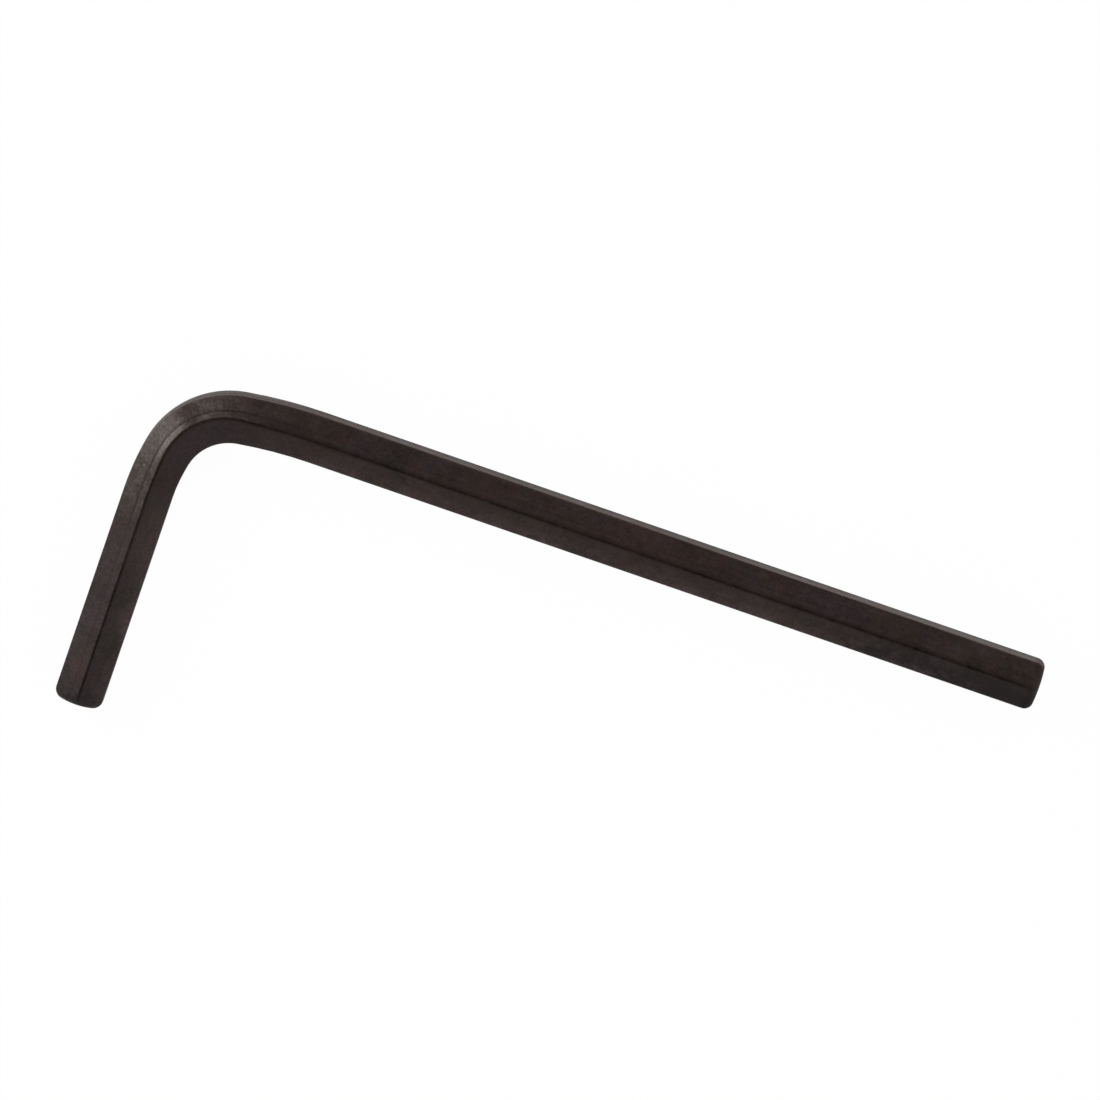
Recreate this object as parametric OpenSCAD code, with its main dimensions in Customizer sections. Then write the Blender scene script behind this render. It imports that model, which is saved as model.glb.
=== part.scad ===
// L-shaped hex key: one bar of hexagon section, bent once, with a chamfered tip on each arm.
// The key lies flat, on the lower ridges of its arms, with the long arm along X and the short
// arm along -Y. The origin is on the surface that it lies on, under the middle of its box.

/* [Bar] */
// Width of the hexagon across its flats
across_flats = 4; // [3:0.1:6]
// Radius that rounds each corner of the hexagon
corner_r = 0.25; // [0.1:0.05:0.6]

/* [Arms] */
// Overall length of the long arm, measured over the short one
long_arm = 75.7; // [60:0.1:120]
// Overall length of the short arm, measured over the long one
short_arm = 29.3; // [24:0.1:60]

/* [Bend] */
// Centre-line radius of the tight middle of the bend
bend_r = 5.9; // [4:0.1:9]
// Centre-line radius where the bend runs out into the long arm
long_run_r = 40; // [10:1:60]
// Angle turned in the run-out to the long arm
long_run_angle = 9; // [3:0.5:20]
// Centre-line radius where the bend runs out into the short arm
short_run_r = 18; // [10:0.5:30]
// Angle turned in the run-out to the short arm
short_run_angle = 12; // [3:0.5:20]

/* [Tips] */
// Slope of the tips' chamfer, measured from the arm's axis
chamfer_angle = 45; // [30:1:60]
// Radius of the flat disc left in the middle of each tip
tip_flat_r = 1.25; // [0.6:0.05:1.4]
// Radius that rounds the flat disc into the chamfer
tip_round_r = 0.8; // [0.2:0.05:1]

/* [Hidden] */

// Facets round each corner of the hexagon, an odd number so that the key rests on one of them
corner_steps = 5;
// Facets along the arc from each tip's flat disc to its chamfer
rim_steps = 4;
// Facets of a full turn, round the tips and round the bend
tip_turn_steps = 96;
bend_turn_steps = 180;

// Distance from the bar's axis to where the hexagon's corners would be if they were sharp
sharp_corner = across_flats / sqrt(3);
// Distance from the bar's axis to the centre of each corner's arc
corner_centre = sharp_corner - corner_r / cos(30);
// Distance from the bar's axis to the ridges, which is also the height of the axis over the surface
ridge = corner_centre + corner_r * cos(30 / corner_steps);

// Where the bend starts along each arm, from the point where the arms' axes cross
bend_angle = 90 - long_run_angle - short_run_angle;
long_run_end = 90 + long_run_angle;
short_run_start = long_run_end + bend_angle;
long_straight_x = short_run_r - (long_run_r - bend_r) * cos(long_run_end)
    - (bend_r - short_run_r) * cos(short_run_start);
long_centre = [long_straight_x, -long_run_r];
bend_centre = long_centre + (long_run_r - bend_r) * direction(long_run_end);
short_centre = bend_centre + (bend_r - short_run_r) * direction(short_run_start);

function direction(angle) = [cos(angle), sin(angle)];

// Corners of the hexagon, with flats to the left and right and ridges above and below
function section_points() = [
    for (corner = [30:60:330], step = [0:corner_steps])
        corner_centre * direction(corner)
            + corner_r * direction(corner - 30 + 60 * step / corner_steps)
];

// Half profile of a tip, as [radius, distance back from the end]: its arc, then the chamfer out to reach
function tip_points(reach) = let (
    arc = [
        for (step = [0:rim_steps]) let (slope = (90 - chamfer_angle) * step / rim_steps)
            [tip_flat_r + tip_round_r * sin(slope), tip_round_r * (1 - cos(slope))]
    ],
    last = arc[rim_steps]
) concat(arc, [[reach, last[1] + (reach - last[0]) / tan(chamfer_angle)]]);

module section() {
    polygon(section_points());
}

// Round body that a straight arm is cut to: its end is the tip, and its side is clear of the hexagon
module tip_body(start, end) {
    reach = across_flats;
    rotate([0, 90, 0]) rotate_extrude($fn = tip_turn_steps)
        polygon(concat(
            [[0, start - reach], [0, end]],
            [for (point = tip_points(reach)) [point[0], end - point[1]]],
            [[reach, start - reach]]
        ));
}

// Straight arm along +X, with its outer flat towards +Y and its chamfered tip at the end
module arm(start, end) {
    intersection() {
        translate([start, 0, 0])
            rotate([90, 0, 90]) linear_extrude(end - start) section();
        tip_body(start, end);
    }
}

// Part of the bend: the section turned about a centre in the plane of the key
module bend_part(centre, radius, start, turn) {
    translate(centre)
        rotate_extrude(angle = turn, start = start, $fn = bend_turn_steps)
            translate([radius, 0]) section();
}

module hex_key() {
    color([0.19, 0.17, 0.165])
        translate([(across_flats - long_arm) / 2, (short_arm - across_flats) / 2, ridge])
            union() {
                arm(long_straight_x, long_arm - across_flats / 2);
                bend_part(long_centre, long_run_r, 90, long_run_angle);
                bend_part(bend_centre, bend_r, long_run_end, bend_angle);
                bend_part(short_centre, short_run_r, short_run_start, short_run_angle);
                rotate([180, 0, -90]) arm(-short_centre[1], short_arm - across_flats / 2);
            }
}

hex_key();
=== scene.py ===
import math

import bmesh
import bpy
from mathutils import Matrix, Vector


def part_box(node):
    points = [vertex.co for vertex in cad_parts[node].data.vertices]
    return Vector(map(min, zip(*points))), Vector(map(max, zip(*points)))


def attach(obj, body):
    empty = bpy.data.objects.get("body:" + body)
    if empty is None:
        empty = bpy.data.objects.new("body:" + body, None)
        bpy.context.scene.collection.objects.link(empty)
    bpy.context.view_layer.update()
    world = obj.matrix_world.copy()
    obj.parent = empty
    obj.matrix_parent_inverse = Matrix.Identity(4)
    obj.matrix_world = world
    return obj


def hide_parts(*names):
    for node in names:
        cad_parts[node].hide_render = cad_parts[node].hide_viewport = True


bl_info = {
    "name": "Bent Hexagon Key",
    "version": (1, 0, 0),
    "blender": (4, 5, 0),
    "location": "3D View > Sidebar > Hex Key",
    "description": "Dresses a bent hexagon key: its drawn bar, tumbled tips and black oxide finish",
    "category": "Add Mesh",
}

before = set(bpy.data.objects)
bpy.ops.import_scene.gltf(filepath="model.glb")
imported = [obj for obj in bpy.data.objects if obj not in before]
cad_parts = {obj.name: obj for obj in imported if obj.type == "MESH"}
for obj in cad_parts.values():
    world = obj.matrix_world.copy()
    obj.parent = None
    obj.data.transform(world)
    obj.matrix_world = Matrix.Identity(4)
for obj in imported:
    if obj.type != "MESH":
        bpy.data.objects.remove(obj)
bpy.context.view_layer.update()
KEY_LOW, KEY_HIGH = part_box("hex_key")

MM = 0.001
TURN = 2 * math.pi
UP = Vector((0, 0, 1))

# Height of the bar's axis, and distance of the upper and lower ridges from it
AXIS_HEIGHT = (KEY_LOW.z + KEY_HIGH.z) / 2
RIDGE = KEY_HIGH.z - AXIS_HEIGHT
# How near two places have to be to count as one, in metres or radians
PLACE_TOLERANCE = 1e-6
# Cuts across each flat of the section, and facets round each of its corners
FLAT_CUTS = 9
CORNER_FACETS = 6
# Steps of the straight arms and of the bend
STATION = 1.5 * MM
SPIN_STEP = math.radians(2.5)
# Facets round each tip's edge, and rings across its domed end
EDGE_STEPS = 8
CROWN_RINGS = 4
# How far the large faces outweigh the small ones in the normals, from 1 to 100
NORMAL_WEIGHT = 100
# Name of the bar's own map
BAR_MAP = "bar_map"
# Width of the floor
FLOOR_WIDTH = 4
# Width of the camera's sensor in millimetres
SENSOR_WIDTH = 36
# Where the camera's view starts and ends, as shares of its distance from the key
VIEW_START = 0.1
VIEW_END = 4

# Tinted patches, some of them painted highlight, light and shade, each with its tint, its middle
# (millimetres along the bar from the middle of the bend, and turns round it from the upper ridge),
# its reach in both, and its strength
PATCHES = (
    # Painted shade: the inner side darkens towards the long tip, where the light falls off
    ("dark", (73, -0.09), (17.0, 0.13), 1.0),
    ("olive", (71, 0.06), (1.8, 0.12), 0.7),
    ("violet", (54, 0.08), (3.0, 0.08), 0.8),
    ("brown", (39, 0.07), (7.0, 0.09), 0.7),
    ("olive", (7.5, 0.07), (2.2, 0.08), 0.6),
    ("violet", (0, -0.09), (5.0, 0.09), 0.9),
    ("olive", (-19.5, -0.09), (1.6, 0.06), 0.7),
    # Painted light in a paler patch
    ("pale", (-11, -0.09), (3.2, 0.10), 0.35),
    # Painted highlight beside the bend's ridge, where the softbox is reflected
    ("painted_highlight", (-2.5, 0.036), (1.8, 0.026), 0.85),
    ("painted_highlight", (-2.6, 0.10), (2.0, 0.09), 0.3),
    ("painted_highlight", (-2.1, 0.032), (1.1, 0.026), 0.85),
    ("painted_highlight", (-1.9, 0.10), (1.1, 0.09), 0.25),
    # Painted shade: the bend's highlight drops off here, in a brown and a dark patch
    ("brown", (-0.1, 0.09), (0.9, 0.12), 0.75),
    ("dark", (0.1, 0.035), (0.7, 0.04), 0.35),
    ("dark", (7.5, 0.04), (2.5, 0.03), 0.4),
    # Painted light in a paler patch beside the bend
    ("pale", (5.5, 0.10), (2.4, 0.07), 0.2),
)


class KeySizes(bpy.types.PropertyGroup):
    """Sizes of the bent bar. Its overall lengths come from the frame."""

    across_flats: bpy.props.FloatProperty(
        name="Across flats",
        description="Width of the hexagon across its flats",
        default=4 * MM, min=1 * MM, unit="LENGTH", subtype="DISTANCE")
    corner_radius: bpy.props.FloatProperty(
        name="Corner radius",
        description="Radius that rounds each corner of the hexagon",
        default=0.25 * MM, min=0.05 * MM, unit="LENGTH", subtype="DISTANCE")
    bend_radius: bpy.props.FloatProperty(
        name="Bend radius",
        description="Centre-line radius of the tight middle of the bend",
        default=5.9 * MM, min=3 * MM, unit="LENGTH", subtype="DISTANCE")
    long_run_radius: bpy.props.FloatProperty(
        name="Long run-out radius",
        description="Centre-line radius where the bend eases into the long arm",
        default=40 * MM, min=3 * MM, unit="LENGTH", subtype="DISTANCE")
    long_run_angle: bpy.props.FloatProperty(
        name="Long run-out angle",
        description="Angle turned where the bend eases into the long arm",
        default=math.radians(9), unit="ROTATION", subtype="ANGLE")
    short_run_radius: bpy.props.FloatProperty(
        name="Short run-out radius",
        description="Centre-line radius where the bend eases into the short arm",
        default=18 * MM, min=3 * MM, unit="LENGTH", subtype="DISTANCE")
    short_run_angle: bpy.props.FloatProperty(
        name="Short run-out angle",
        description="Angle turned where the bend eases into the short arm",
        default=math.radians(12), unit="ROTATION", subtype="ANGLE")
    ridge_shift: bpy.props.FloatProperty(
        name="Ridge shift",
        description="Distance that bending pushed the ridges outwards in the middle of the bend",
        default=0.32 * MM, min=0, unit="LENGTH", subtype="DISTANCE")
    long_ridge_reach: bpy.props.FloatProperty(
        name="Long ridge reach",
        description="Distance from the middle of the bend to the push's end towards the long arm",
        default=8.5 * MM, min=1 * MM, unit="LENGTH", subtype="DISTANCE")
    short_ridge_reach: bpy.props.FloatProperty(
        name="Short ridge reach",
        description="Distance from the middle of the bend to the push's end towards the short arm",
        default=6.5 * MM, min=1 * MM, unit="LENGTH", subtype="DISTANCE")
    draw_line_place: bpy.props.FloatProperty(
        name="Draw line place",
        description="Distance of the draw line from the ridge, as a share of the flat's width",
        default=0.335, min=0.1, max=0.9, subtype="FACTOR")
    draw_line_width: bpy.props.FloatProperty(
        name="Draw line width",
        description="Width of the shallow line that the drawing die left along the bar",
        default=0.13 * MM, unit="LENGTH", subtype="DISTANCE")
    draw_line_depth: bpy.props.FloatProperty(
        name="Draw line depth",
        description="Depth of the line that the drawing die left along the bar",
        default=0.015 * MM, unit="LENGTH", subtype="DISTANCE")


class TipSizes(bpy.types.PropertyGroup):
    """Shape of the tumbled end of each arm."""

    edge_radius: bpy.props.FloatProperty(
        name="Edge rounding",
        description="Radius between the end and the middle of each flat",
        default=0.5 * MM, unit="LENGTH", subtype="DISTANCE")
    ridge_radius: bpy.props.FloatProperty(
        name="Ridge rounding",
        description="Radius between the end and each ridge, where tumbling took off more",
        default=0.66 * MM, unit="LENGTH", subtype="DISTANCE")
    crown_radius: bpy.props.FloatProperty(
        name="Crown radius",
        description="Radius of the slightly domed end",
        default=13 * MM, unit="LENGTH", subtype="DISTANCE")
    short_wear: bpy.props.FloatProperty(
        name="Short tip wear",
        description="How many times rounder the short arm's tip is worn than the long arm's",
        default=1.2, min=1, max=2)
    reach: bpy.props.FloatProperty(
        name="Reach",
        description="Length of bar at each end that the tip is shaped from",
        default=1.6 * MM, unit="LENGTH", subtype="DISTANCE")


class KeyFinish(bpy.types.PropertyGroup):
    """Colours of the oxidised steel, and of the painted highlight, light and shade on it."""

    brown_colour: bpy.props.FloatVectorProperty(
        name="Brown oxide",
        description="Colour of most of the oxide",
        default=(0.0190, 0.0093, 0.0080), size=3, min=0, max=1, subtype="COLOR")
    violet_colour: bpy.props.FloatVectorProperty(
        name="Violet oxide",
        description="Colour of the patches that took a violet tint in the bath",
        default=(0.0170, 0.0110, 0.0132), size=3, min=0, max=1, subtype="COLOR")
    olive_colour: bpy.props.FloatVectorProperty(
        name="Olive oxide",
        description="Colour of the patches that took an olive tint in the bath",
        default=(0.0148, 0.0110, 0.0082), size=3, min=0, max=1, subtype="COLOR")
    # Painted shade: this colour darkens the inner side towards the long tip, where the light falls
    # off, and the drop of the bend's highlight, and tints one small patch beside the bend
    dark_colour: bpy.props.FloatVectorProperty(
        name="Dark oxide",
        description="Colour of the thickest oxide, on the inner side near the long tip",
        default=(0.0045, 0.0025, 0.0029), size=3, min=0, max=1, subtype="COLOR")
    # Painted shade: this colour darkens the upper ridge, the draw line, the crease and a corner,
    # where shade falls
    painted_line_shade_colour: bpy.props.FloatVectorProperty(
        name="Ridge oxide",
        description="Colour of the dark lines along the ridges and in the draw line",
        default=(0.0070, 0.0034, 0.0027), size=3, min=0, max=1, subtype="COLOR")
    # Painted light: this paler colour lightens the key's inner side and two patches
    pale_colour: bpy.props.FloatVectorProperty(
        name="Pale oxide",
        description="Colour of the thinner oxide towards the inner side of the key",
        default=(0.0435, 0.0285, 0.0285), size=3, min=0, max=1, subtype="COLOR")
    flank_colour: bpy.props.FloatVectorProperty(
        name="Flank oxide",
        description="Colour of the browner oxide on the key's outer edge",
        default=(0.0335, 0.0148, 0.0092), size=3, min=0, max=1, subtype="COLOR")
    # Partly painted highlight: this paler colour is strained oxide and also stands in for the
    # softbox's highlight on the outside of the bend
    strained_and_highlight_colour: bpy.props.FloatVectorProperty(
        name="Strained oxide",
        description="Colour of the paler, rougher oxide on the outside of the bend",
        default=(0.075, 0.061, 0.056), size=3, min=0, max=1, subtype="COLOR")
    # Painted highlight: this colour stands in for the softbox's reflection beside the bend's ridge,
    # and for a sheen along the edge
    painted_highlight_colour: bpy.props.FloatVectorProperty(
        name="Worn oxide",
        description="Colour of the worn place beside the bend's ridge",
        default=(0.125, 0.110, 0.103), size=3, min=0, max=1, subtype="COLOR")
    gloss_colour: bpy.props.FloatVectorProperty(
        name="Gloss",
        description="Tint of the oxide's gloss",
        default=(1.0, 0.87, 0.80), size=3, min=0, max=1, subtype="COLOR")
    gloss_level: bpy.props.FloatProperty(
        name="Gloss level",
        description="Strength of the oxide's gloss",
        default=0.17, min=0, max=1, subtype="FACTOR")
    roughness: bpy.props.FloatProperty(
        name="Roughness",
        description="Roughness of the oxide along the straight arms",
        default=0.42, min=0, max=1, subtype="FACTOR")
    tip_roughness: bpy.props.FloatProperty(
        name="Tip roughness",
        description="Roughness of the tumbled tips",
        default=0.62, min=0, max=1, subtype="FACTOR")


class StudioSizes(bpy.types.PropertyGroup):
    """Camera and light."""

    camera_tilt: bpy.props.FloatProperty(
        name="Camera tilt",
        description="Angle from straight above to the camera, towards the long arm's outer side",
        default=math.radians(10.8), unit="ROTATION", subtype="ANGLE")
    camera_roll: bpy.props.FloatProperty(
        name="Camera roll",
        description="Angle that the camera is rolled, so that the long arm falls to the right",
        default=math.radians(19), unit="ROTATION", subtype="ANGLE")
    picture_width: bpy.props.FloatProperty(
        name="Picture width",
        description="Width of what the picture takes in at the key",
        default=89.5 * MM, unit="LENGTH", subtype="DISTANCE")
    look_at: bpy.props.FloatVectorProperty(
        name="Look at",
        description="Point at the height of the bar's axis in the middle of the picture",
        default=(-3.417 * MM, 10.125 * MM), size=2, unit="LENGTH", subtype="XYZ")
    lens: bpy.props.FloatProperty(
        name="Lens",
        description="Focal length in millimetres, long enough that the arms don't converge",
        default=1000, min=50)
    floor_colour: bpy.props.FloatVectorProperty(
        name="Floor",
        description="Colour of the plain pale floor",
        default=(0.9, 0.9, 0.9), size=3, min=0, max=1, subtype="COLOR")
    floor_white: bpy.props.FloatProperty(
        name="Floor white",
        description="Share of pure white that the camera sees in the floor",
        default=0.98, min=0, max=1, subtype="FACTOR")
    mirrored_white: bpy.props.FloatProperty(
        name="Mirrored white",
        description="Share of that white that the steel's gloss sees in the floor",
        default=0.3, min=0, max=1, subtype="FACTOR")
    sky_strength: bpy.props.FloatProperty(
        name="Sky",
        description="Strength of the even light from the horizon up to half height",
        default=1.4, min=0)
    zenith_share: bpy.props.FloatProperty(
        name="Zenith share",
        description="Share of the even light from straight above, where the camera hangs",
        default=0.08, min=0, max=1, subtype="FACTOR")
    sky_sides: bpy.props.FloatVectorProperty(
        name="Sky sides",
        description="Level of the even light behind, in front and at the sides of the key",
        default=(0.74, 0.72, 1.08), size=3)
    softbox_power: bpy.props.FloatProperty(
        name="Softbox power",
        description="Power of the softbox beyond the outside of the bend, in watts",
        default=1.0, min=0)
    softbox_size: bpy.props.FloatProperty(
        name="Softbox size",
        description="Width of the softbox",
        default=0.4, unit="LENGTH", subtype="DISTANCE")
    softbox_place: bpy.props.FloatVectorProperty(
        name="Softbox place",
        description="Middle of the softbox, which faces the key",
        default=(-0.405, 0.06, 0.287), size=3, unit="LENGTH", subtype="XYZ")


def direction(angle):
    """Unit vector in the plane of the key."""
    return Vector((math.cos(angle), math.sin(angle), 0))


class Path:
    """Centre line of the bar, worked out from the frame's box and the bend's sizes."""

    def __init__(self, sizes):
        half = sizes.across_flats / 2
        self.corner = Vector((KEY_LOW.x + half, KEY_HIGH.y - half, AXIS_HEIGHT))
        self.long_end = Vector((KEY_HIGH.x, self.corner.y, self.corner.z))
        self.short_end = Vector((self.corner.x, KEY_LOW.y, self.corner.z))
        self.arcs = self.bend_arcs(sizes)
        # Where the straight part of each arm starts
        self.long_start = self.arcs[0][0].x
        self.short_start = self.arcs[2][0].y
        # Length of the bar's map round the bar, and its middle and half length along it
        self.girth = TURN * self.corner.z
        long_place = self.arc_length(0) + self.long_end.x - self.long_start
        short_place = -self.arc_length(2) - (self.short_start - self.short_end.y)
        self.map_middle = (long_place + short_place) / 2
        self.map_half = (long_place - short_place) / 2
        # Width of each flat with sharp corners, which is also the distance of those from the axis
        self.flat_width = sizes.across_flats / math.sqrt(3)
        # Turn from the upper ridge to the draw line. The flat's middle is at a twelfth of a turn
        off_middle = (sizes.draw_line_place - 0.5) * self.flat_width / half
        self.line_turn = 1 / 12 + math.atan(off_middle) / TURN

    def bend_arcs(self, sizes):
        """The bend's arcs, each as its centre, its radius and its angles at start and end."""
        radius = sizes.bend_radius
        long_radius, short_radius = sizes.long_run_radius, sizes.short_run_radius
        long_angle = TURN / 4 + sizes.long_run_angle
        short_angle = TURN / 2 - sizes.short_run_angle
        long_x = (short_radius - (long_radius - radius) * math.cos(long_angle)
                  - (radius - short_radius) * math.cos(short_angle))
        long_centre = self.corner + Vector((long_x, -long_radius, 0))
        centre = long_centre + (long_radius - radius) * direction(long_angle)
        short_centre = centre + (radius - short_radius) * direction(short_angle)
        return (
            (long_centre, long_radius, TURN / 4, long_angle),
            (centre, radius, long_angle, short_angle),
            (short_centre, short_radius, short_angle, TURN / 2),
        )

    def arc_at(self, point):
        """Number of the arc that a point lies on and its angle there, or None on an arm."""
        for number, (centre, _, start, end) in enumerate(self.arcs):
            angle = math.atan2(point.y - centre.y, point.x - centre.x) % TURN
            if start - PLACE_TOLERANCE <= angle <= end + PLACE_TOLERANCE:
                return number, angle
        return None

    def bar_place(self, point):
        """Distances of a point along the bar from the middle of the bend, outwards and up."""
        up = point.z - self.corner.z
        if point.x >= self.long_start:
            along = self.arc_length(0) + point.x - self.long_start
            return along, point.y - self.corner.y, up
        if point.y <= self.short_start:
            along = -(self.arc_length(2) + self.short_start - point.y)
            return along, self.corner.x - point.x, up
        found = self.arc_at(point)
        if not found:
            raise ValueError("point off the bar: %s" % point)
        number, angle = found
        centre, radius = self.arcs[number][:2]
        outward = math.hypot(point.x - centre.x, point.y - centre.y) - radius
        return self.arc_place(number, angle), outward, up

    def outward(self, point):
        """Direction towards the outer side of the key at a point of the bar."""
        found = self.arc_at(point)
        if found:
            return direction(found[1])
        return Vector((0, 1, 0)) if point.x >= self.long_start else Vector((-1, 0, 0))

    def arc_place(self, number, angle):
        """Distance along the bar of an angle of an arc, counted towards the long arm."""
        _, radius, start, end = self.arcs[1]
        middle = (start + end) / 2
        if number == 1:
            return radius * (middle - angle)
        _, side_radius, side_start, side_end = self.arcs[number]
        if number == 0:
            return radius * (middle - start) + side_radius * (side_end - angle)
        return -(radius * (end - middle) + side_radius * (angle - side_start))

    def arc_length(self, number):
        """Distance from the middle of the bend to the far end of its first or last arc."""
        start, end = self.arcs[number][2:]
        return abs(self.arc_place(number, start if number == 0 else end))


def deselect_all():
    """Nothing is selected, so that the next operator acts on its own piece alone."""
    for item in bpy.context.selected_objects:
        item.select_set(False)


def edit(piece):
    """Selects one piece and opens it for modelling."""
    deselect_all()
    bpy.context.view_layer.objects.active = piece
    piece.select_set(True)
    bpy.ops.object.mode_set(mode="EDIT")
    bpy.ops.mesh.select_mode(type="VERT")


def draw_section(sizes, path):
    """Draws the hexagon's rounded outline at the long end, and scores the draw line into it."""
    deselect_all()
    bpy.ops.mesh.primitive_circle_add(
        vertices=6, radius=path.flat_width, fill_type="NGON",
        location=path.long_end, rotation=(TURN / 4, 0, TURN / 4))
    piece = bpy.context.object
    piece.name = "bent_bar"
    piece.data.name = "bent_bar"
    bpy.ops.object.transform_apply(location=True, rotation=True, scale=True)
    edit(piece)
    bpy.ops.mesh.select_all(action="SELECT")
    # Distance from each sharp corner to where its arc meets the flats
    arc_start = sizes.corner_radius * math.tan(TURN / 12)
    bpy.ops.mesh.bevel(
        offset_type="OFFSET", offset=arc_start, segments=CORNER_FACETS, profile=0.5,
        affect="VERTICES", clamp_overlap=True)
    bpy.ops.mesh.select_all(action="SELECT")
    bpy.ops.mesh.delete(type="ONLY_FACE")
    split_flats(piece, sizes)
    score_draw_line(piece, sizes, path)
    return piece


def split_flats(piece, sizes):
    """Divides each flat of the outline."""
    bpy.ops.mesh.select_mode(type="EDGE")
    mesh = bmesh.from_edit_mesh(piece.data)
    for edge in mesh.edges:
        edge.select = edge.calc_length() > sizes.across_flats / 4
    bmesh.update_edit_mesh(piece.data)
    bpy.ops.mesh.subdivide(number_cuts=FLAT_CUTS)
    bpy.ops.mesh.select_mode(type="VERT")


def score_draw_line(piece, sizes, path):
    """Moves the nearest three points of the upper outer flat to the draw line's rims and floor."""
    half = sizes.across_flats / 2
    # Directions out of that flat, and across it away from the upper ridge
    normal = Vector((0, math.cos(TURN / 6), math.sin(TURN / 6)))
    across = Vector((0, math.sin(TURN / 6), -math.cos(TURN / 6)))
    ridge = path.long_end + normal * half - across * path.flat_width / 2
    line = ridge + across * path.flat_width * sizes.draw_line_place
    mesh = bmesh.from_edit_mesh(piece.data)
    on_flat = [vert for vert in mesh.verts
               if abs((vert.co - path.long_end).dot(normal) - half) < PLACE_TOLERANCE]
    nearest = sorted(on_flat, key=lambda vert: (vert.co - line).length)[:3]
    nearest.sort(key=lambda vert: (vert.co - line).dot(across))
    rim = across * sizes.draw_line_width / 2
    floor = normal * sizes.draw_line_depth
    for vert, co in zip(nearest, (line - rim, line - floor, line + rim)):
        vert.co = co
    bmesh.update_edit_mesh(piece.data)


def draw_on(way):
    """Extrudes the selected outline along a straight way, in even steps."""
    steps = max(1, round(way.length / STATION))
    for _ in range(steps):
        bpy.ops.mesh.extrude_region_move(TRANSFORM_OT_translate={"value": way / steps})


def sweep_bar(path, reach):
    """Draws the outline back from the long end, round the bend's arcs and on to the short end."""
    bpy.ops.mesh.select_all(action="SELECT")
    draw_on(Vector((-reach, 0, 0)))
    draw_on(Vector((path.long_start - path.long_end.x + reach, 0, 0)))
    for centre, _, start, end in path.arcs:
        bpy.ops.mesh.spin(
            steps=max(2, round((end - start) / SPIN_STEP)), dupli=False, angle=start - end,
            use_auto_merge=False, center=(centre.x, centre.y, path.corner.z), axis=UP)
    draw_on(Vector((0, path.short_end.y + reach - path.short_start, 0)))
    draw_on(Vector((0, -reach, 0)))


def select_rim(piece, end, outward):
    """Selects the bar's open rim at one end."""
    bpy.ops.mesh.select_all(action="DESELECT")
    mesh = bmesh.from_edit_mesh(piece.data)
    for vert in mesh.verts:
        vert.select = abs((vert.co - end).dot(outward)) < PLACE_TOLERANCE
    mesh.select_flush(True)
    bmesh.update_edit_mesh(piece.data)


def tip_profile(side, half, tip, wear):
    """Points of the tip from one side inwards: distances from the axis and back from the end."""
    more = (tip.ridge_radius - tip.edge_radius) * (side - half) / (RIDGE - half)
    radius = wear * (tip.edge_radius + more)
    crown = tip.crown_radius / wear ** 2
    turns = [TURN / 4 * step / EDGE_STEPS for step in range(EDGE_STEPS + 1)]
    points = [(side - radius * (1 - math.cos(turn)), radius * (1 - math.sin(turn)))
              for turn in turns]
    points += [((side - radius) * ring / (CROWN_RINGS + 1), 0)
               for ring in range(CROWN_RINGS, 0, -1)]
    return [(away, back + crown - math.sqrt(crown ** 2 - away ** 2)) for away, back in points]


def round_tip(piece, end, outward, half, tip, wear):
    """Closes one end of the bar: rings are extruded there, and each is set to the profile."""
    select_rim(piece, end, outward)
    rings = len(tip_profile(half, half, tip, wear))
    for ring in range(rings):
        mesh = bmesh.from_edit_mesh(piece.data)
        layer = mesh.verts.layers.float.get("side")
        for vert in mesh.verts:
            if not vert.select:
                continue
            radial = vert.co - end
            radial -= outward * radial.dot(outward)
            # The first ring's distances from the axis are handed on to the rings extruded from it
            if vert[layer] == 0:
                vert[layer] = radial.length
            away, back = tip_profile(vert[layer], half, tip, wear)[ring]
            vert.co = end + radial.normalized() * away - outward * back
        bmesh.update_edit_mesh(piece.data)
        if ring < rings - 1:
            bpy.ops.mesh.extrude_region_move()
    bpy.ops.mesh.edge_face_add()
    bpy.ops.mesh.poke()


def map_bar(piece, path):
    """Unrolls the bar into its own map, along it and round it from its upper ridge, in metres."""
    mesh = piece.data
    layer = mesh.uv_layers.new(name=BAR_MAP)
    for face in mesh.polygons:
        corners = [mesh.vertices[mesh.loops[loop].vertex_index].co for loop in face.loop_indices]
        places = [path.bar_place(corner) for corner in corners]
        turns = [math.atan2(outward, up) / TURN for _, outward, up in places]
        wraps = max(turns) - min(turns) > 0.5
        for loop, (along, _, _), turn in zip(face.loop_indices, places, turns):
            round_bar = turn + 1 if wraps and turn < 0 else turn
            layer.data[loop].uv = (along, path.girth * round_bar)


def push_ridges(piece, sizes, path):
    """Leans the bend's upper and lower flats outwards, most at the ridges and not at the sides."""
    side_height = path.flat_width / 2
    for vert in piece.data.vertices:
        along, _, up = path.bar_place(vert.co)
        lean = (abs(up) - side_height) / (RIDGE - side_height)
        reach = sizes.long_ridge_reach if along > 0 else sizes.short_ridge_reach
        if lean > 0 and abs(along) < reach:
            fade = math.cos(TURN / 4 * along / reach) ** 2
            vert.co += path.outward(vert.co) * sizes.ridge_shift * lean * fade


def weigh_normals(piece):
    """Keeps the flats flat where they run into the rounded corners."""
    bpy.ops.object.shade_smooth()
    modifier = piece.modifiers.new("Flats", "WEIGHTED_NORMAL")
    modifier.weight = NORMAL_WEIGHT
    bpy.ops.object.modifier_apply(modifier=modifier.name)


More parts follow.
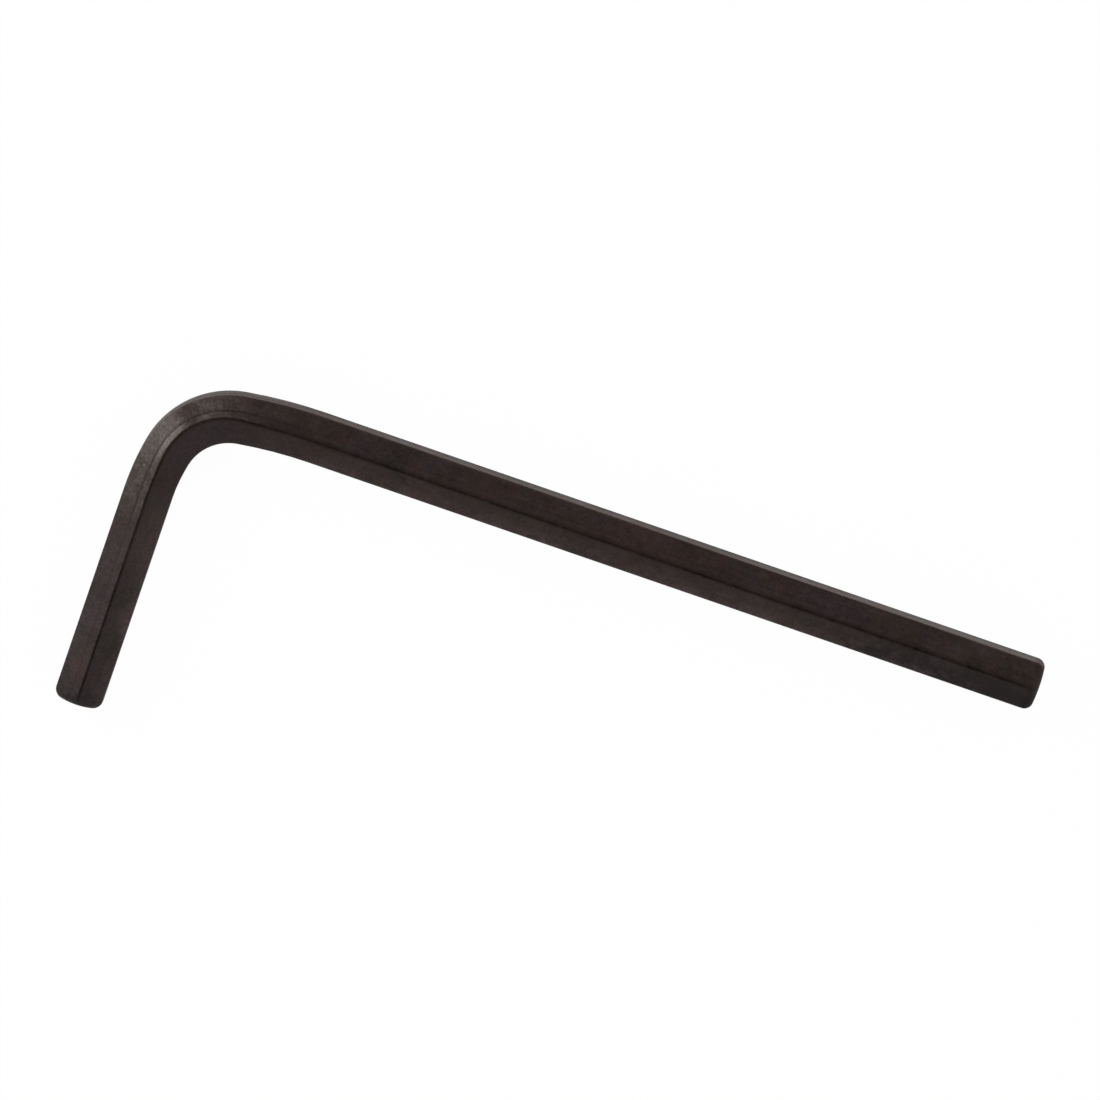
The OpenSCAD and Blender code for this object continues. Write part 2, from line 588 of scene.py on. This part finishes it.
class Socket:
    """A number in a node tree, so that sums on it can be written as Python sums."""

    def __init__(self, tree, output):
        self.tree = tree
        self.output = output

    def sum(self, operation, other, swapped=False):
        """One Math node of this number and another."""
        first, second = (other, self) if swapped else (self, other)
        return self.tree.node("ShaderNodeMath", {"operation": operation}, {0: first, 1: second})

    def __add__(self, other):
        return self.sum("ADD", other)

    __radd__ = __add__

    def __sub__(self, other):
        return self.sum("SUBTRACT", other)

    def __rsub__(self, other):
        return self.sum("SUBTRACT", other, swapped=True)

    def __mul__(self, other):
        return self.sum("MULTIPLY", other)

    __rmul__ = __mul__

    def __truediv__(self, other):
        return self.sum("DIVIDE", other)


class Finish:
    """The node tree of one material or world."""

    def __init__(self, owner):
        owner.use_nodes = True
        self.nodes = owner.node_tree.nodes
        self.links = owner.node_tree.links
        self.nodes.clear()

    def node(self, kind, settings=None, sockets=None, output=0):
        """Adds a node: its settings first, then the values or links of its sockets."""
        node = self.nodes.new(kind)
        for name, value in (settings or {}).items():
            setattr(node, name, value)
        for name, value in (sockets or {}).items():
            if isinstance(value, Socket):
                self.links.new(value.output, node.inputs[name])
            else:
                node.inputs[name].default_value = value
        return Socket(self, node.outputs[output]) if node.outputs else None

    def clamp(self, value, low=0, high=1):
        """A number kept between two limits."""
        return self.node("ShaderNodeClamp", {}, {"Value": value, "Min": low, "Max": high})

    def absolute(self, value):
        """A number without its sign."""
        return self.node("ShaderNodeMath", {"operation": "ABSOLUTE"}, {0: value})

    def larger(self, first, second):
        """The larger of two numbers."""
        return self.node("ShaderNodeMath", {"operation": "MAXIMUM"}, {0: first, 1: second})

    def step(self, value, low, high, first=0, last=1):
        """A smooth step from first at low to last at high."""
        return self.node("ShaderNodeMapRange", {"interpolation_type": "SMOOTHSTEP"}, {
            "Value": value, "From Min": low, "From Max": high, "To Min": first, "To Max": last})

    def around(self, value, middle, none, full):
        """A smooth step from 0 to 1 between two distances from a middle."""
        return self.step(self.absolute(value - middle), none, full)

    def blend(self, share, first, second):
        """A colour between two colours."""
        return self.node("ShaderNodeMix", {"data_type": "RGBA"}, {
            "Factor": share, 6: first, 7: second}, output=2)

    def scaled(self, colour, share):
        """A colour made lighter or darker."""
        return self.node("ShaderNodeVectorMath", {"operation": "SCALE"}, {
            0: colour, "Scale": share})

    def noise(self, vector, scale, detail, roughness):
        """Fractal noise as a number."""
        return self.node("ShaderNodeTexNoise", {}, {
            "Vector": vector, "Scale": scale, "Detail": detail, "Roughness": roughness})

    def drawn_noise(self, vector, scales, detail, roughness):
        """Fractal noise as a number, with its own scale on each axis."""
        stretched = self.node("ShaderNodeMapping", {}, {"Vector": vector, "Scale": (*scales, 1)})
        return self.noise(stretched, 1, detail, roughness)

    def shifted(self, vector, distance):
        """Coordinates moved, so that a second noise differs from the first."""
        return self.node("ShaderNodeMapping", {}, {"Vector": vector, "Location": distance})


def opaque(colour):
    """A colour with its alpha."""
    return (*colour, 1)


class Steel:
    """What the finish varies with: places on the bar, zones of it from 0 to 1, and noises."""

    def __init__(self, tree, path):
        bar = tree.node("ShaderNodeUVMap", {"uv_map": BAR_MAP})
        place = tree.node("ShaderNodeTexCoord", {}, {}, output="Object")
        # Metres along the bar from the middle of the bend, and turns round it from the upper ridge
        along = tree.node("ShaderNodeSeparateXYZ", {}, {"Vector": bar}, output="X")
        turn = tree.node("ShaderNodeSeparateXYZ", {}, {"Vector": bar}, output="Y") / path.girth
        self.along, self.turn = along, turn

        # The bend's zone is centred where the painted highlight falls
        self.bend = tree.around(along, -2.5 * MM, 8 * MM, 0.6 * MM)
        self.creased = tree.around(along, 2.5 * MM, 8.5 * MM, 3.5 * MM)
        self.short_arm = tree.step(along, -4 * MM, -10 * MM)
        self.tip = tree.around(
            along, path.map_middle, path.map_half - 1.4 * MM, path.map_half - 0.4 * MM)
        self.outer = tree.step(turn, 0.0, 0.012) * tree.step(turn, 0.5, 0.4)
        self.flank = tree.step(turn, 0.156, 0.190) * tree.step(turn, 0.36, 0.32)
        self.inner = (tree.step(turn, -0.03, -0.19) * tree.step(turn, -0.48, -0.34)
                      * tree.step(tree.absolute(along), 5 * MM, 12 * MM))

        self.cloud = tree.noise(place, 260, 4, 0.8)
        self.tint = tree.noise(tree.shifted(place, (0.1, 0.2, 0.3)), 330, 4, 0.8)
        self.mottle = tree.noise(tree.shifted(place, (0.3, 0.1, 0.2)), 250, 5, 1.0)
        self.swell = tree.noise(tree.shifted(place, (0.2, 0.3, 0.1)), 300, 4, 0.5)
        self.fleck = tree.noise(place, 1500, 3, 0.8)
        self.speckle = tree.noise(place, 4600, 2, 0.8)
        # Fine lines along the bar, broader ones along it, and short ones across it
        self.grain = tree.drawn_noise(bar, (250, 6000), 3, 0.7)
        self.streak = tree.drawn_noise(bar, (260, 2600), 3, 0.6) - 0.5
        self.marks = tree.drawn_noise(bar, (3400, 600), 3, 0.7)


def tinted_oxide(tree, steel, colours):
    """Brown oxide with violet and olive tints, with painted light that makes it paler inside the
    key, and browner on its edge, where painted light and shade lie.
    """
    brown = opaque(colours.brown_colour)
    violet_share = tree.clamp(steel.short_arm * 0.75 + tree.step(steel.cloud, 0.4, 0.62))
    base = tree.blend(violet_share, brown, opaque(colours.violet_colour))
    base = tree.blend(tree.step(steel.tint, 0.50, 0.60), base, opaque(colours.olive_colour))
    base = tree.blend(tree.step(steel.tint, 0.47, 0.38) * 0.8, base, brown)
    # Painted light: the inner side is made paler
    pale_share = tree.clamp(steel.inner * (0.6 + (steel.cloud - 0.5) * 2))
    base = tree.blend(pale_share, base, opaque(colours.pale_colour))
    # Painted light on the edge: lighter along its upper half as a painted reflection, darker along
    # its lower half as painted shade, and paler towards the long tip as a painted sheen
    flank_painted_light = tree.step(steel.turn, 0.235, 0.255, 1.4, 0.6)
    base = tree.blend(steel.flank, base, tree.scaled(tuple(colours.flank_colour), flank_painted_light))
    flank_sheen_share = steel.flank * tree.step(steel.along, 38 * MM, 70 * MM, 0, 0.22)
    return tree.blend(flank_sheen_share, base, opaque(colours.painted_highlight_colour))


def strained_and_highlight_share(tree, steel):
    """Share of strained oxide and painted highlight: high on the outside of the bend, where the
    softbox's highlight falls, and broken up like grit.
    """
    grit = (tree.step(steel.fleck, 0.34, 0.66, 0.7, 1.1)
            * tree.step(steel.mottle, 0.38, 0.62, 0.75, 1.1)
            * tree.step(steel.marks, 0.34, 0.66, 0.65, 1.2))
    clouded = tree.step(steel.cloud, 0.38, 0.62, 0.7, 1.15)
    return tree.clamp(steel.bend * steel.outer * grit * clouded)


def patched_oxide(tree, steel, colours, base):
    """The oxide with its tinted patches, some of them painted highlight, light and shade, which are
    ovals with mottled edges.
    """
    for tint, (along, turn), (length, width), share in PATCHES:
        u = (steel.along - along * MM) / (length * MM)
        v = (steel.turn - turn) / width
        patch = tree.step(u * u + v * v + (steel.mottle - 0.5) * 4, 1.5, 0.1)
        base = tree.blend(patch * share, base, opaque(getattr(colours, tint + "_colour")))
    return base


def painted_shade_lines(tree, steel, path):
    """Share of the painted shade lines: on the upper ridge, in the draw line and crease, and by a
    corner.
    """
    along, turn, streak = steel.along, steel.turn, steel.streak
    soft_ridge = tree.step(
        tree.absolute(turn - 0.004 + streak * 0.03), 0.030 + streak * 0.05, 0.003)
    soft_ridge = soft_ridge * tree.step(along, 4 * MM, 10 * MM)
    crisp_ridge = tree.step(tree.absolute(turn + 0.003 + streak * 0.010), 0.015, 0.005)
    crisp_ridge = crisp_ridge * (0.80 + streak * 1.8)
    ridge = tree.larger(soft_ridge, crisp_ridge) * tree.step(along, 12 * MM, 20 * MM, 0.9, 0.75)
    by_bend = tree.around(along, -1 * MM, 9.5 * MM, 5.5 * MM)
    draw_line = tree.around(turn, path.line_turn, 0.012, 0.002)
    draw_line = draw_line * tree.clamp(0.28 + by_bend * 0.5 + steel.short_arm * 0.35)
    draw_line = draw_line * (0.95 + streak * 1.6)
    crease = tree.around(turn, 0.218, 0.020, 0.006) * steel.creased
    corner = tree.around(turn, 0.160, 0.0075, 0.002)
    corner = corner * tree.around(along, 51 * MM, 16 * MM, 9 * MM)
    lines = ridge + draw_line + crease * 0.6 + corner * 0.6
    return tree.clamp(lines * (1 - steel.tip * 0.6))


def speckled_oxide(tree, steel, base):
    """The oxide made lighter and darker in mottles, speckles and drawn grain."""
    bend_side, short_side = steel.bend * steel.outer, steel.short_arm * steel.outer
    mottles = (steel.mottle - 0.5) * (3.6 + short_side * 2.8 - bend_side * 1.6)
    speckles = (steel.speckle - 0.5) * (1.6 + bend_side * 0.6 + short_side * 1.2)
    return tree.scaled(base, 1 + mottles + speckles + (steel.grain - 0.5) * 0.8)


def black_oxide(colours, path):
    """Oxidised drawn steel: tinted, with painted shade in its lines, painted light and shade in
    patches, and paler outside the bend as strained oxide and painted highlight.
    """
    material = bpy.data.materials.new("black_oxide")
    tree = Finish(material)
    steel = Steel(tree, path)
    strained_and_highlight = strained_and_highlight_share(tree, steel)
    base = tinted_oxide(tree, steel, colours)
    # Strained oxide, partly painted highlight, on the outside of the bend
    base = tree.blend(strained_and_highlight, base, opaque(colours.strained_and_highlight_colour))
    base = patched_oxide(tree, steel, colours, base)
    # Painted shade along the upper ridge, in the draw line and crease, and by a corner
    base = tree.blend(painted_shade_lines(tree, steel, path), base, opaque(colours.painted_line_shade_colour))
    base = speckled_oxide(tree, steel, base)

    roughness = colours.roughness + (steel.grain - 0.5) * 0.3 + (steel.mottle - 0.5) * 0.6
    roughness = (roughness + strained_and_highlight * 0.06) * (1 - steel.tip) + steel.tip * colours.tip_roughness
    # The crease is a low step beside the outside of the bend
    crease = tree.step(steel.turn, 0.207, 0.227) * tree.step(steel.turn, 0.34, 0.30)
    height = steel.swell + steel.grain * 0.04 + steel.fleck * 0.08 + crease * steel.creased * 0.6
    bump = tree.node("ShaderNodeBump", {}, {
        "Height": height, "Strength": 1.0, "Distance": 0.12 * MM})
    shader = tree.node("ShaderNodeBsdfPrincipled", {}, {
        "Base Color": base, "Roughness": tree.clamp(roughness, 0.2, 0.9), "Metallic": 0.0,
        "Specular IOR Level": colours.gloss_level,
        "Specular Tint": opaque(colours.gloss_colour), "Normal": bump})
    tree.node("ShaderNodeOutputMaterial", {}, {"Surface": shader})
    return material


def light_ray(tree, kind):
    """1 for a ray of one kind, such as those from the camera, and 0 for the rest."""
    return tree.node("ShaderNodeLightPath", {}, {}, output="Is %s Ray" % kind)


def pale_floor(studio):
    """Plain pale floor: white to the camera and in gloss, and still dark where it is shaded."""
    material = bpy.data.materials.new("pale_floor")
    tree = Finish(material)
    seen = light_ray(tree, "Camera") + light_ray(tree, "Transmission")
    seen = tree.clamp(seen + light_ray(tree, "Glossy") * studio.mirrored_white)
    lit = tree.node("ShaderNodeBsdfDiffuse", {}, {"Color": opaque(studio.floor_colour)})
    white = tree.node("ShaderNodeEmission", {}, {"Color": (1, 1, 1, 1), "Strength": 1})
    surface = tree.node("ShaderNodeMixShader", {}, {
        0: seen * studio.floor_white, 1: lit, 2: white})
    tree.node("ShaderNodeOutputMaterial", {}, {"Surface": surface})
    return material


def light_sky(studio):
    """Even studio light from all round, darker above, and white where the camera sees it."""
    world = bpy.data.worlds.new("studio")
    bpy.context.scene.world = world
    tree = Finish(world)
    way = tree.node("ShaderNodeTexCoord", {}, {}, output="Generated")
    across, back, height = (
        tree.node("ShaderNodeSeparateXYZ", {}, {"Vector": way}, output=axis) for axis in "XYZ")
    behind, before, sides = studio.sky_sides
    middle = (behind + before) / 2
    zenith = studio.sky_strength * studio.zenith_share
    # Heights between which the light falls off, where the horizon is 0 and straight up is 1
    fade_start, fade_end = 0.6, 0.93
    level = tree.step(height, fade_start, fade_end, studio.sky_strength, zenith)
    level = level * (middle + across * across * (sides - middle) + back * (behind - middle))
    camera_ray = light_ray(tree, "Camera")
    strength = level * (1 - camera_ray) + camera_ray
    sky = tree.node("ShaderNodeBackground", {}, {"Color": (1, 1, 1, 1), "Strength": strength})
    tree.node("ShaderNodeOutputWorld", {}, {"Surface": sky})


def add_softbox(power, width, place):
    """Adds a square soft lamp that faces the key."""
    data = bpy.data.lights.new("softbox", "AREA")
    data.energy = power
    data.shape = "SQUARE"
    data.size = width
    lamp = bpy.data.objects.new("softbox", data)
    bpy.context.scene.collection.objects.link(lamp)
    lamp.location = place
    lamp.rotation_euler = (-place).to_track_quat("-Z", "Y").to_euler()


def hang_camera(scene, studio):
    """Hangs the camera over the key at the photograph's angle, far off on a long lens."""
    data = bpy.data.cameras.new("camera")
    data.lens = studio.lens
    data.sensor_width = SENSOR_WIDTH
    distance = studio.picture_width * data.lens / data.sensor_width
    back = Vector((0, math.sin(studio.camera_tilt), math.cos(studio.camera_tilt)))
    level_up = Vector((0, math.cos(studio.camera_tilt), -math.sin(studio.camera_tilt)))
    cos_roll, sin_roll = math.cos(studio.camera_roll), math.sin(studio.camera_roll)
    across = Vector((1, 0, 0))
    right = across * cos_roll + level_up * sin_roll
    up = level_up * cos_roll - across * sin_roll
    target = Vector((*studio.look_at, AXIS_HEIGHT))
    place = Matrix((right, up, back)).transposed().to_4x4()
    place.translation = target + back * distance
    camera = bpy.data.objects.new("camera", data)
    camera.matrix_world = place
    data.clip_start = distance * VIEW_START
    data.clip_end = distance * VIEW_END
    scene.collection.objects.link(camera)
    scene.camera = camera


class HEXKEY_OT_bar(bpy.types.Operator):
    """Make the bent hexagon bar with its two tumbled tips, and give it its finish"""

    bl_idname = "hexkey.bar"
    bl_label = "Bent bar"

    def execute(self, context):
        sizes, tip = context.scene.key_sizes, context.scene.key_tips
        half = sizes.across_flats / 2
        path = Path(sizes)
        piece = draw_section(sizes, path)
        bmesh.from_edit_mesh(piece.data).verts.layers.float.new("side")
        bmesh.update_edit_mesh(piece.data)
        sweep_bar(path, tip.reach)
        round_tip(piece, path.long_end, Vector((1, 0, 0)), half, tip, 1)
        round_tip(piece, path.short_end, Vector((0, -1, 0)), half, tip, tip.short_wear)
        bpy.ops.mesh.select_all(action="SELECT")
        bpy.ops.mesh.remove_doubles(threshold=PLACE_TOLERANCE)
        bpy.ops.mesh.normals_make_consistent(inside=False)
        bpy.ops.object.mode_set(mode="OBJECT")
        map_bar(piece, path)
        push_ridges(piece, sizes, path)
        weigh_normals(piece)
        piece.data.materials.append(black_oxide(context.scene.key_finish, path))
        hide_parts("hex_key")
        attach(piece, "root")
        return {"FINISHED"}


class HEXKEY_OT_stage(bpy.types.Operator):
    """Set the key on a pale floor in soft light, and hang the camera over it"""

    bl_idname = "hexkey.stage"
    bl_label = "Studio"

    def execute(self, context):
        studio = context.scene.key_studio
        deselect_all()
        bpy.ops.mesh.primitive_plane_add(size=FLOOR_WIDTH, location=(0, 0, KEY_LOW.z))
        floor = context.object
        floor.name = "floor"
        bpy.ops.object.transform_apply(location=True, rotation=True, scale=True)
        floor.data.materials.append(pale_floor(studio))
        light_sky(studio)
        add_softbox(studio.softbox_power, studio.softbox_size, Vector(studio.softbox_place))
        hang_camera(context.scene, studio)
        context.scene.view_settings.view_transform = "Standard"
        return {"FINISHED"}


class HEXKEY_PT_panel(bpy.types.Panel):
    """Lists the steps that make the key and its stage"""

    bl_label = "Hex Key"
    bl_idname = "HEXKEY_PT_panel"
    bl_space_type = "VIEW_3D"
    bl_region_type = "UI"
    bl_category = "Hex Key"

    def draw(self, context):
        for group in GROUPS:
            box = self.layout.box()
            box.label(text=group.__doc__.split(".")[0])
            settings = getattr(context.scene, GROUPS[group])
            for name in group.__annotations__:
                box.prop(settings, name)
        for step in STEPS:
            self.layout.operator(step.bl_idname, text=step.bl_label)


GROUPS = {
    KeySizes: "key_sizes", TipSizes: "key_tips",
    KeyFinish: "key_finish", StudioSizes: "key_studio",
}
STEPS = (HEXKEY_OT_bar, HEXKEY_OT_stage)


def register():
    """Adds the settings, the steps and the panel to Blender."""
    for group, name in GROUPS.items():
        bpy.utils.register_class(group)
        setattr(bpy.types.Scene, name, bpy.props.PointerProperty(type=group))
    for item in (*STEPS, HEXKEY_PT_panel):
        bpy.utils.register_class(item)


def unregister():
    """Takes the panel, the steps and the settings out again."""
    for item in (HEXKEY_PT_panel, *reversed(STEPS)):
        bpy.utils.unregister_class(item)
    for group, name in GROUPS.items():
        delattr(bpy.types.Scene, name)
        bpy.utils.unregister_class(group)


def main():
    """Makes the key and its stage."""
    register()
    bpy.ops.hexkey.bar()
    bpy.ops.hexkey.stage()


if __name__ == "__main__":
    main()
